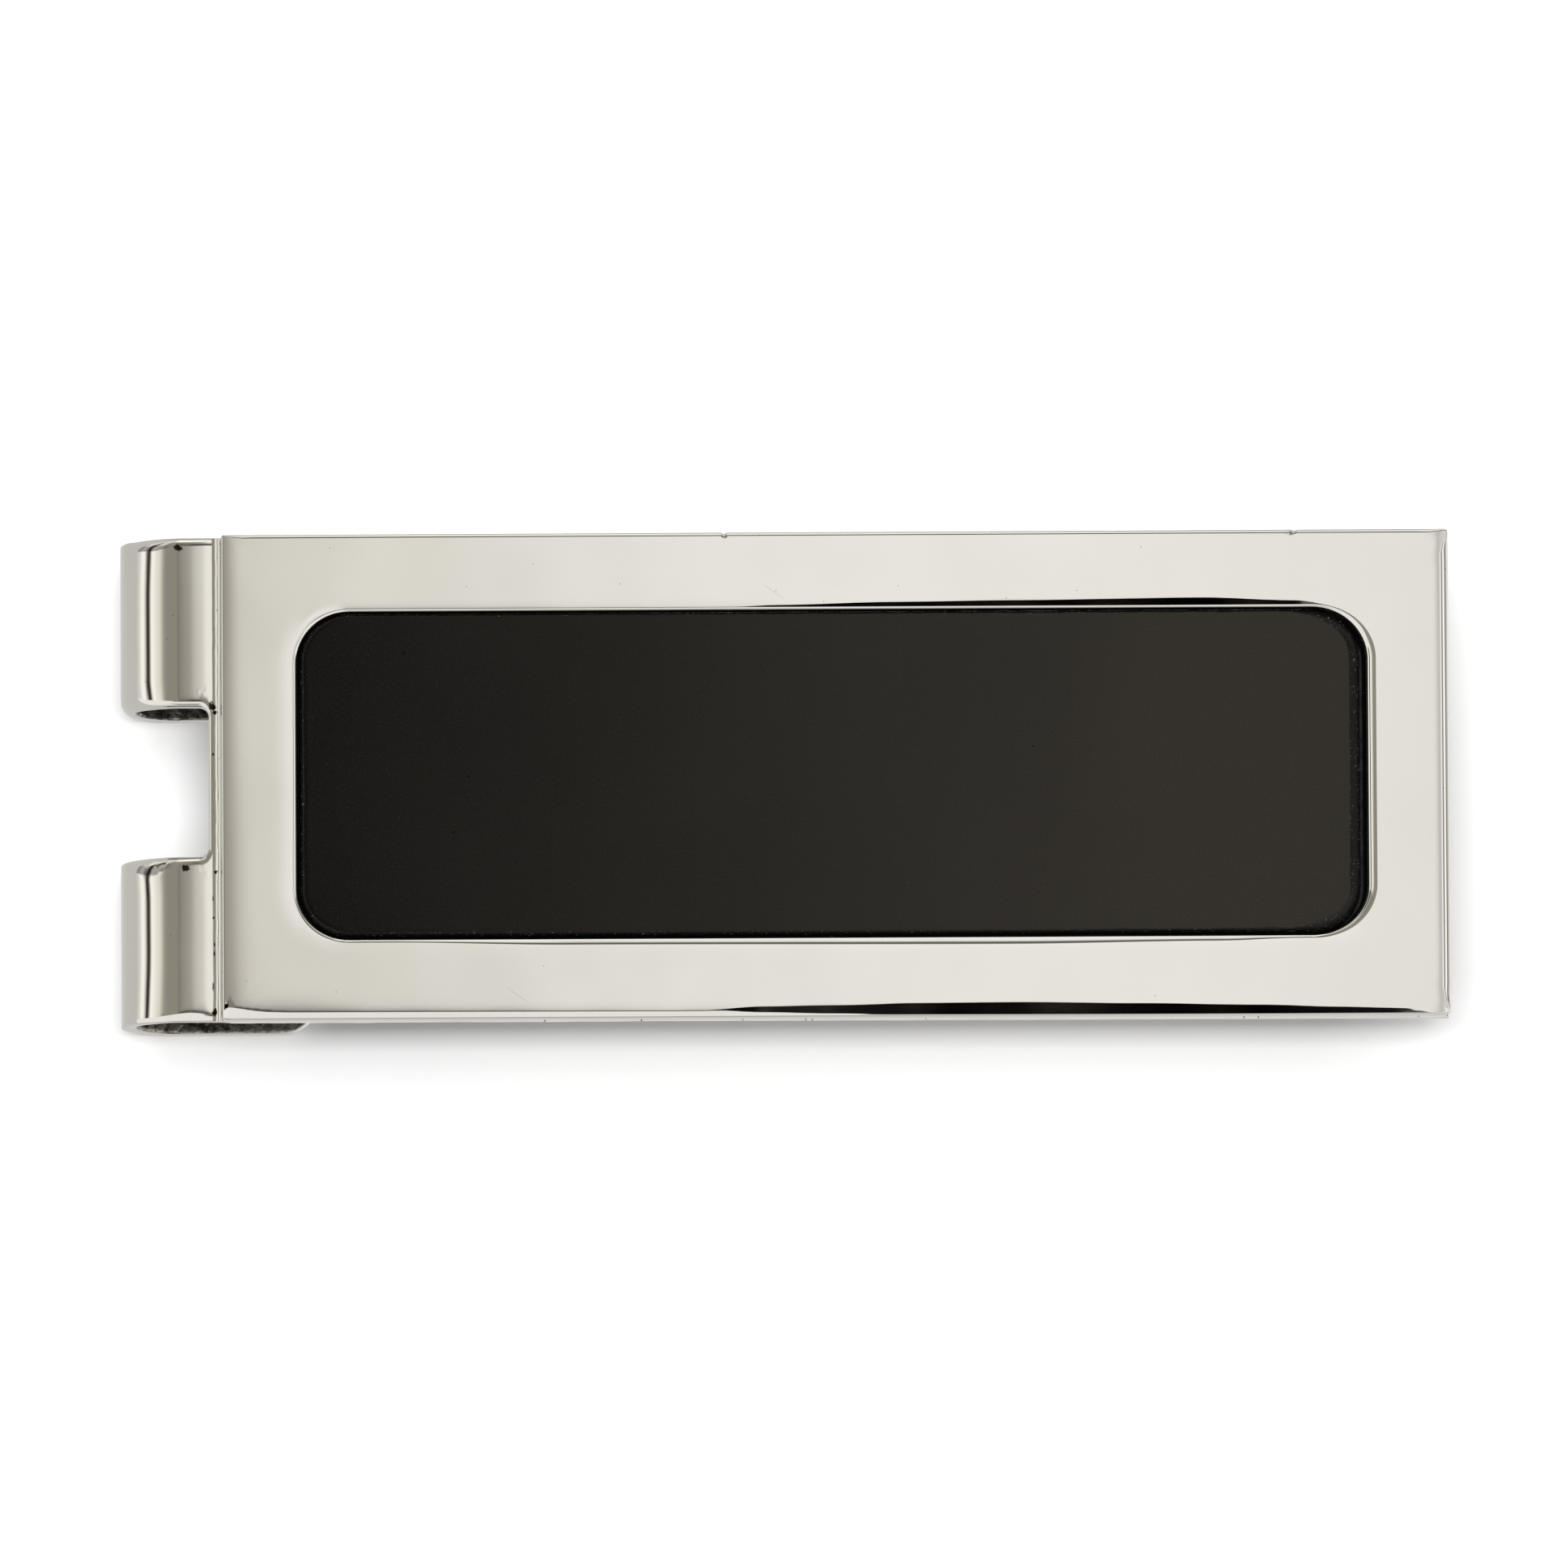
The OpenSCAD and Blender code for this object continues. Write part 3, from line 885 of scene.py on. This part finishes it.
def build_front_strip():
    """The front leaf and both bends, cut flat, rounded at the edges and then bent."""
    tail = -math.pi * MID_R
    root = FRAME_LOW.x - SLOT_LEDGE - FOLD_X
    end = LEAF_HIGH.x - FOLD_X - STRIP_SHORT
    c = SLOT_CORNER_R
    bend_places = span(tail, 0, 0.4)
    outline = [(s, -EDGE) for s in bend_places + [0.4, 0.8, 1.3, 1.6, 1.9, 4, end]]
    outline += [(s, EDGE) for s in [end, 4, 1.9, 1.6, 1.3, 0.8, 0.4] + bend_places[::-1]]
    outline += [(s, SLOT_HIGH) for s in bend_places]
    outline += arc(root - c, SLOT_HIGH - c, c, 90, 0, 6) + arc(root - c, SLOT_LOW + c, c, 0, -90, 6)
    outline += [(s, SLOT_LOW) for s in bend_places[::-1]]
    inward = squared_ends(outline, inward_normals(outline), tail)

    def outer_edge(i):
        width, depth, steep, worn = strip_edge(*outline[i], *inward[i])

        def taken(d):
            return rolled_off(d, steep, 13) + (buffed(d - steep, worn, 3.4) if worn else 0)

        points = []
        for k in range(8):
            a = math.radians(90 * k / 7)
            points.append((width * (1 - math.cos(a)), HALF_T - taken(0) - depth * (1 - math.sin(a))))
        for d in (0.05, 0.1, 0.15, 0.19, 0.23, 0.28, 0.35, 0.45, 0.6, 0.75):
            points.append((width + d, HALF_T - taken(d)))
        return points

    def inner_edge(i):
        radius = ease(outline[i][0], [(-5.6, 0.12), (-2.8, 0.24), (-0.6, 0.14), (1.9, 0.1)])
        return round_edge(radius, -HALF_T, False, 5)

    bm = plate(outline, inward, outer_edge, inner_edge)
    cut(bm, 0, span(tail + 0.08, -0.06, 0.08) + span(0, 1.4, 0.1) + [1.6, 1.9] + span(2.5, end - 1, 1))
    cut(bm, 1, span(-EDGE + 1, EDGE - 1, 0.3))
    bmesh.ops.remove_doubles(bm, verts=[v for v in bm.verts if v.co.z > HALF_T - 1e-4], dist=0.02)
    for v in bm.verts:
        s, y, h = v.co
        waviness = smooth((s - tail) / 1.2)
        if h > 0 and s < 1.5:
            h += 0.0022 * waviness * wave(s, y, 3.4, 51) + bow(s, y)
        if h < -HALF_T + 1e-4 and s < 16:
            h += 0.02 * waviness * wave(s, y, 0.7, 53)
        if s < LAND_END:
            h += land(s)
        # The strip lies slightly askew: its shift fades towards the tongue and towards the open end
        y += lerp(STRIP_SHIFT, TONGUE_SHIFT, min(max(s / tail, 0), 1)) * (1 - max(s, 0) / end)
        if s >= 0:
            v.co = (FOLD_X + s, y, LEAF_TOP - HALF_T + h)
        else:
            a = math.pi / 2 - s / MID_R
            v.co = (FOLD_X + (MID_R + h) * math.cos(a), y, FOLD_R + (MID_R + h) * math.sin(a))

    def pick(centre, normal):
        radius = math.hypot(centre.x - FOLD_X, centre.z - FOLD_R)
        inside_bend = centre.x < FOLD_X and radius < FOLD_R - STRIP_T + 0.12 and abs(normal.y) < 0.75
        under_leaf = centre.x >= FOLD_X and normal.z < -0.8
        return 1 if inside_bend or under_leaf else 0

    bends = ["far_bend_upper", "near_bend_upper", "far_bend_lower", "near_bend_lower"]
    strip = make_piece(
        "folded_strip", bm, [STRIP_SILVER, ROUGH], None, ["front_leaf"] + bends, pick,
    )
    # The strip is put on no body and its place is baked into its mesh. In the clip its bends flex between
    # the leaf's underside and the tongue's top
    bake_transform(strip)


def tongue_path():
    """Where the tongue's foot ends, how high its crest is, and where its crest and its lip's roll lie."""
    ramp, lip = math.radians(RAMP_DEG), math.radians(LIP_DEG)
    foot_end = FOLD_X + FOOT_LENGTH
    rise = LEAF_LOW.z - PINCH_GAP - STRIP_T
    ramp_l = (rise - (RAMP_BEND_R + CREST_R) * (1 - math.cos(ramp))) / math.sin(ramp)
    lip_l = (rise - (CREST_R + LIP_ROLL_R) * (1 - math.cos(lip))) / math.sin(lip)
    crest_x = foot_end + (RAMP_BEND_R + CREST_R) * math.sin(ramp) + ramp_l * math.cos(ramp)
    roll_x = crest_x + (CREST_R + LIP_ROLL_R) * math.sin(lip) + lip_l * math.cos(lip)
    return foot_end, rise, crest_x, roll_x


FOOT_END, RISE, CREST_X, ROLL_X = tongue_path()


def tongue_middle(x):
    """Level and slope of the tongue's middle line at x."""
    ramp, lip = math.radians(RAMP_DEG), math.radians(LIP_DEG)
    bend_end = FOOT_END + RAMP_BEND_R * math.sin(ramp)
    crest_start, crest_end = CREST_X - CREST_R * math.sin(ramp), CREST_X + CREST_R * math.sin(lip)
    roll_start = ROLL_X - LIP_ROLL_R * math.sin(lip)
    if x <= FOOT_END:
        return HALF_T, 0
    if x <= bend_end:
        a = math.asin((x - FOOT_END) / RAMP_BEND_R)
        return HALF_T + RAMP_BEND_R * (1 - math.cos(a)), a
    if x <= crest_start:
        return HALF_T + RAMP_BEND_R * (1 - math.cos(ramp)) + (x - bend_end) * math.tan(ramp), ramp
    if x <= crest_end:
        a = math.asin((x - CREST_X) / CREST_R)
        return HALF_T + RISE - CREST_R * (1 - math.cos(a)), -a
    if x <= roll_start:
        return HALF_T + RISE - CREST_R * (1 - math.cos(lip)) - (x - crest_end) * math.tan(lip), -lip
    a = math.asin(min(1, max(-1, (x - ROLL_X) / LIP_ROLL_R)))
    return HALF_T + LIP_ROLL_R * (1 - math.cos(a)), a


def build_tongue():
    shoulder_x = FOLD_X + SHOULDER_REACH
    root, tip = TONGUE_ROOT_W / 2, TONGUE_TIP_W / 2
    tip_x = ROLL_X + LIP_ROLL_R * math.sin(math.radians(LIP_CURL_DEG))
    slot_x = FOLD_X + SLOT_RUN
    c = SLOT_CORNER_R
    near = [(FOLD_X, -EDGE)]
    near += arc(shoulder_x - SHOULDER_R, -EDGE + SHOULDER_R, SHOULDER_R, -90, 0, 12)
    near += arc(shoulder_x + SHOULDER_FILLET_R, -root - SHOULDER_FILLET_R, SHOULDER_FILLET_R, 180, 90, 10)
    near += arc(tip_x - TONGUE_TIP_R, -tip + TONGUE_TIP_R, TONGUE_TIP_R, -90, 0, 16)
    outline = near + [(x, -y) for x, y in reversed(near)]
    outline += [(FOLD_X, SLOT_HIGH)] + arc(slot_x - c, SLOT_HIGH - c, c, 90, 0, 6)
    outline += arc(slot_x - c, SLOT_LOW + c, c, 0, -90, 6) + [(FOLD_X, SLOT_LOW)]
    inward = squared_ends(outline, inward_normals(outline), FOLD_X)
    bm = plate(
        outline, inward,
        lambda i: round_edge(0.12, HALF_T, True, 5),
        lambda i: round_edge(0.2, -HALF_T, False, 6),
    )
    foot_cuts, ramp_cuts = span(FOLD_X + 0.5, FOOT_END, 0.5), span(FOOT_END + 0.2, CREST_X - 2, 0.6)
    cut(bm, 0, foot_cuts + ramp_cuts + span(CREST_X - 1.8, tip_x - 0.3, 0.2))
    cut(bm, 1, span(-EDGE + 0.7, EDGE - 0.7, 0.6))
    for v in bm.verts:
        x, y, h = v.co
        if abs(h) > HALF_T - 1e-4:
            h += 0.006 * smooth((x - FOLD_X) / 1.5) * wave(x, y, 4, 61 if h > 0 else 62)
            h = max(h, -HALF_T)
        level, slope = tongue_middle(x)
        v.co = (x - h * math.sin(slope), y + TONGUE_SHIFT, level + h * math.cos(slope))

    def pick(centre, normal):
        return 1 if normal.z > (0.8 if centre.x < ROLL_X - 2 else 0.5) else 0

    make_piece("spring_tongue", bm, [STRIP_SILVER, ROUGH], "tongue", ["tongue"], pick)


build_face_frame()
build_stone()
build_adhesive()
build_solder_film()
build_solder_fillet()
build_front_strip()
build_tongue()


# ---------------------------------------------------------------- floor, light and camera
def build_floor():
    bm = bmesh.new()
    bmesh.ops.create_grid(bm, x_segments=4, y_segments=4, size=1500)
    for v in bm.verts:
        v.co = (v.co.x * MM, v.co.y * MM, -0.00002)
    mesh = bpy.data.meshes.new("studio_floor")
    bm.to_mesh(mesh)
    bm.free()
    mesh.materials.append(pale_floor())
    floor = bpy.data.objects.new("studio_floor", mesh)
    bpy.context.scene.collection.objects.link(floor)
    floor.visible_glossy = False


def build_world():
    """A studio tent by direction: A is the angle from straight up towards the fold, B towards the viewer."""
    world = bpy.data.worlds.new("studio")
    bpy.context.scene.world = world
    world.use_nodes = True
    tent = Tree(world.node_tree)
    calc = tent.math
    split = tent.add("SeparateXYZ", {0: tent.add("TexCoord").outputs["Generated"]})

    def angle(component):
        minus = calc("MULTIPLY", split.outputs[component], -1.0)
        return calc("MULTIPLY", calc("ARCTAN2", minus, split.outputs["Z"]), 180 / math.pi)

    def blend(a, b, share):
        return calc("ADD", calc("MULTIPLY", a, calc("SUBTRACT", 1.0, share)), calc("MULTIPLY", b, share))

    def ramp(value, low, high, stops):
        node = tent.add("ValToRGB", {0: calc("DIVIDE", calc("SUBTRACT", value, low), high - low)})
        elements = node.color_ramp.elements
        while len(elements) < len(stops):
            elements.new(0.5)
        for element, (place, level) in zip(elements, sorted(stops)):
            element.position = (place - low) / (high - low)
            element.color = (level, level, level, 1)
        return node.outputs[0]

    def by_angle(value, stops):
        return ramp(value, -90, 90, stops)

    a, b = angle("X"), angle("Y")
    # Levels across the tent, as the open end's edge, the face and the fold mirror them
    open_levels = by_angle(a, [
        (-84, 0.5), (-78, 0.2), (-66, 0.2), (-58, 1.05), (-40, 1.05), (-30, 0.24), (-21, 0.24), (-14, 0.95),
        (-9, 0.95), (-6, 0.6), (-4, 0.52), (-1.5, 0.78), (-0.5, 0.89), (0, 0.85),
    ])
    fold_levels = by_angle(a, [
        (0, 0.85), (0.35, 0.8), (0.8, 0.74), (1.0, 0.7), (1.3, 0.6), (2, 0.41), (3.1, 0.29),
        (4.1, 0.2), (6, 0.265), (25, 0.27), (30, 0.33), (33.5, 0.47), (38, 0.72), (48, 0.87),
        (54, 1.0), (56, 0.92), (58.4, 0.42), (60.5, 0.06), (64.5, 0.02), (67, 0.28),
        (69.5, 0.62), (72.5, 0.94), (77, 1.0), (86, 0.62),
    ])
    level = blend(open_levels, fold_levels, by_angle(a, [(-0.02, 0), (0.02, 1)]))
    # Straight to the back and the front the tent is even, so that side walls mirror no seam
    back_and_front = ramp(calc("ABSOLUTE", split.outputs["Y"]), 0, 1, [(0.85, 0), (0.97, 1)])
    level = blend(level, TENT_LEVEL, back_and_front)
    # The front of the tent is even, and the dark gap over the lens lies between it and the top
    front = by_angle(b, [(-90, 0), (10.5, 0), (13.5, 1), (90, 1)])
    level = blend(level, TENT_LEVEL, front)
    shared = [
        (-90, 1.1), (-50, 1.05), (-42, 0.75), (-36, 0.3), (-30, 0.14), (-20, 0.14),
        (-16, 0.5), (-13.5, 1.05), (-9, 1.1), (-6.9, 1.0),
    ]
    front_end = [(11, 0.5), (13, 1), (45, 0.95), (56, 0.5), (90, 0.3)]
    fold_middle = [(-5, 0.94), (-3.5, 0.82), (-2.1, 0.62), (-0.8, 0.35), (0.5, 0.16), (8, 0.16)]
    fold_side = by_angle(b, shared + fold_middle + front_end)
    open_side = by_angle(b, shared + [(-2, 1.02), (0.8, 1.08), (1.6, 0), (10.5, 0)] + front_end)
    far_side = by_angle(b, shared + [(-2, 1.02), (90, 1.02)])
    open_side = blend(far_side, open_side, by_angle(a, [(-13, 0), (-8, 1)]))
    folded = by_angle(a, [(-90, 0), (0.0, 0), (0.2, 1), (90, 1)])
    across = blend(open_side, fold_side, folded)
    # The dark grey beside the middle is even from the back of the tent to its front
    beside_middle = by_angle(a, [(2, 0), (4.5, 1), (28, 1), (35, 0)])
    hollow = calc("MULTIPLY", beside_middle, by_angle(b, [(10.5, 1), (13, 0)]))
    grey = by_angle(b, [(-90, 2.1), (-67, 1.5), (-45, 1), (-13, 1)])
    across = blend(across, grey, hollow)
    # Reflections far towards the fold or the open end see no gap
    sideways = calc("MULTIPLY", calc("ARCSINE", calc("MULTIPLY", split.outputs["Y"], -1.0)), 180 / math.pi)
    plain = by_angle(sideways, [
        (-90, 0.85), (-48, 0.85), (-34, 0.4), (-16, 0.38), (-12, 1), (50, 1), (90, 0.7),
    ])
    towards_ends = by_angle(a, [(-90, 1), (-40, 1), (-25, 0), (20, 0), (34, 1), (90, 1)])
    across = blend(across, plain, towards_ends)
    warmth = by_angle(a, [
        (-0.1, 0), (1, 0.25), (3, 1), (32, 1), (46, 0.3), (55, 0.25), (62, 1), (69, 0.2), (90, 0.1),
    ])
    warmth = calc("MULTIPLY", warmth, calc("SUBTRACT", 1.0, front))
    tint = tent.add("CombineXYZ", {0: 1, 1: blend(1.0, 0.965, warmth), 2: blend(1.0, 0.86, warmth)})
    # The floor is not mirrored. Greys that change only along X stand in for it below the horizon.
    ground = ramp(split.outputs["X"], -1, 1, [
        (-1, 0.535), (-0.3, 0.535), (-0.1, 0.46), (0.1, 0.46),
        (0.3, 0.63), (0.7, 0.82), (0.9, 0.9), (0.97, 0.5),
    ])
    below = ramp(split.outputs["Z"], -1, 1, [(-0.02, 1), (0.02, 0)])
    shade = blend(calc("MULTIPLY", level, across), ground, below)
    colored = tent.add("VectorMath", {0: tint.outputs[0], "Scale": shade}, operation="SCALE")
    tent.set(tent.tree.nodes["Background"], {"Color": colored.outputs[0], "Strength": TENT_STRENGTH})
    # The tent is only mirrored. The floor is lit by the two lamps.
    world.cycles_visibility.diffuse = False


def build_lamp(name, place, size, energy):
    data = bpy.data.lights.new(name, "AREA")
    data.shape = "RECTANGLE"
    data.size, data.size_y = size
    data.energy = energy
    lamp = bpy.data.objects.new(name, data)
    bpy.context.scene.collection.objects.link(lamp)
    lamp.location = place
    lamp.rotation_euler = (-math.atan2(place[1], place[2]), math.atan2(place[0], place[2]), 0)
    lamp.visible_camera = False
    lamp.visible_glossy = False


def build_camera():
    tilt, roll = math.radians(CAMERA_TILT_DEG), math.radians(CAMERA_ROLL_DEG)
    data = bpy.data.cameras.new("camera")
    data.sensor_width = 36
    data.lens = data.sensor_width * CAMERA_REACH / (VIEW_W * MM)
    data.clip_start, data.clip_end = 0.05, 10
    camera = bpy.data.objects.new("camera", data)
    bpy.context.scene.collection.objects.link(camera)
    back = Vector((0, -math.sin(tilt), math.cos(tilt)))
    camera.location = Vector((0, 0, AIM_Z * MM)) + back * CAMERA_REACH
    camera.rotation_mode = "QUATERNION"
    turn = (-back).to_track_quat("-Z", "Y")
    camera.rotation_quaternion = turn @ Quaternion((0, 0, 1), roll)
    bpy.context.scene.camera = camera


build_floor()
build_world()
# Each lamp's place and size are in metres and its energy in watts. Both face the origin.
build_lamp("key", (0.008, 0.003, 0.6), (0.32, 0.11), 1.8)
build_lamp("fill", (0, 0.6, 1.6), (4, 4), 98)
build_camera()
bpy.context.scene.view_settings.view_transform = "Standard"
